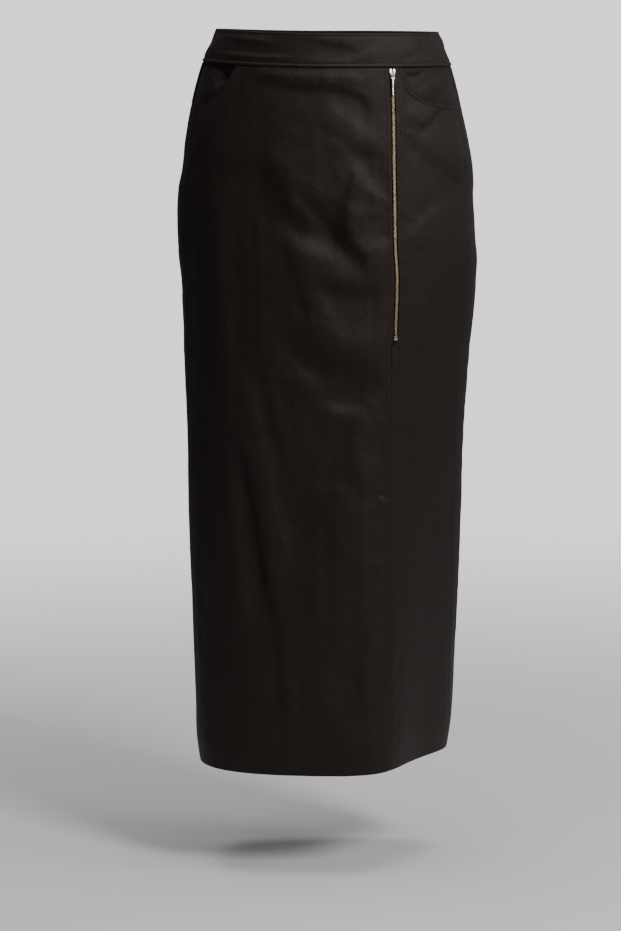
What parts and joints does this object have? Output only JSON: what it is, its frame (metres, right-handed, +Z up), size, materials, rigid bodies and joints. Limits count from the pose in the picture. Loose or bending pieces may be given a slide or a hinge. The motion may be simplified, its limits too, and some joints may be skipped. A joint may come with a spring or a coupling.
{
  "type": "straight skirt",
  "caption": "Long straight skirt in its worn shape, with a contoured waistband, scoop pockets, an off-centre exposed zip and a lapped seam that opens into a vent.",
  "frame": {"origin": "centre of the waistband ring, half way up the band", "axes": "+Z up, from the hem to the waist; -Y towards the front; +X towards the wearer's left"},
  "size_m": [0.3823, 0.2616, 0.9471],
  "materials": {
    "sateen": "black cotton sateen with a soft, low sheen",
    "pocket_cloth": "black cotton sateen, a little duller",
    "zip_tape": "black twill tape, matt",
    "zip_metal": "polished gold-tone brass",
    "zip_enamel": "black enamel, semi-gloss"
  },
  "bodies": {
    "root": {"waistband_front": "sateen", "waistband_back_left": "sateen", "waistband_back_right": "sateen", "front_right": "sateen", "front_left": "sateen", "back_left": "sateen", "back_right": "sateen", "vent_underlap": "sateen", "pocket_left": "pocket_cloth", "pocket_right": "pocket_cloth", "zip_tape_left": "zip_tape", "zip_tape_right": "zip_tape", "zip_chain": "zip_metal", "zip_slider": "zip_metal", "zip_stop": "zip_metal", "back_zip_tape_left": "zip_tape", "back_zip_tape_right": "zip_tape", "back_zip_slider": "zip_enamel"},
    "front_pull": {"zip_pull": "zip_metal"},
    "back_pull": {"back_zip_pull": "zip_enamel"}
  },
  "joints": [
    {"name": "front_pull_hinge", "type": "hinge", "parent": "root", "child": "front_pull", "pos_m": [0.08225, -0.09322, -0.02964], "axis": [-0.9347, -0.3555, 0], "range_deg": [0, 150]},
    {"name": "back_pull_hinge", "type": "hinge", "parent": "root", "child": "back_pull", "pos_m": [0.01055, 0.09839, 0.01228], "axis": [0.9989, -0.0459, 0], "range_deg": [0, 150]}
  ]
}
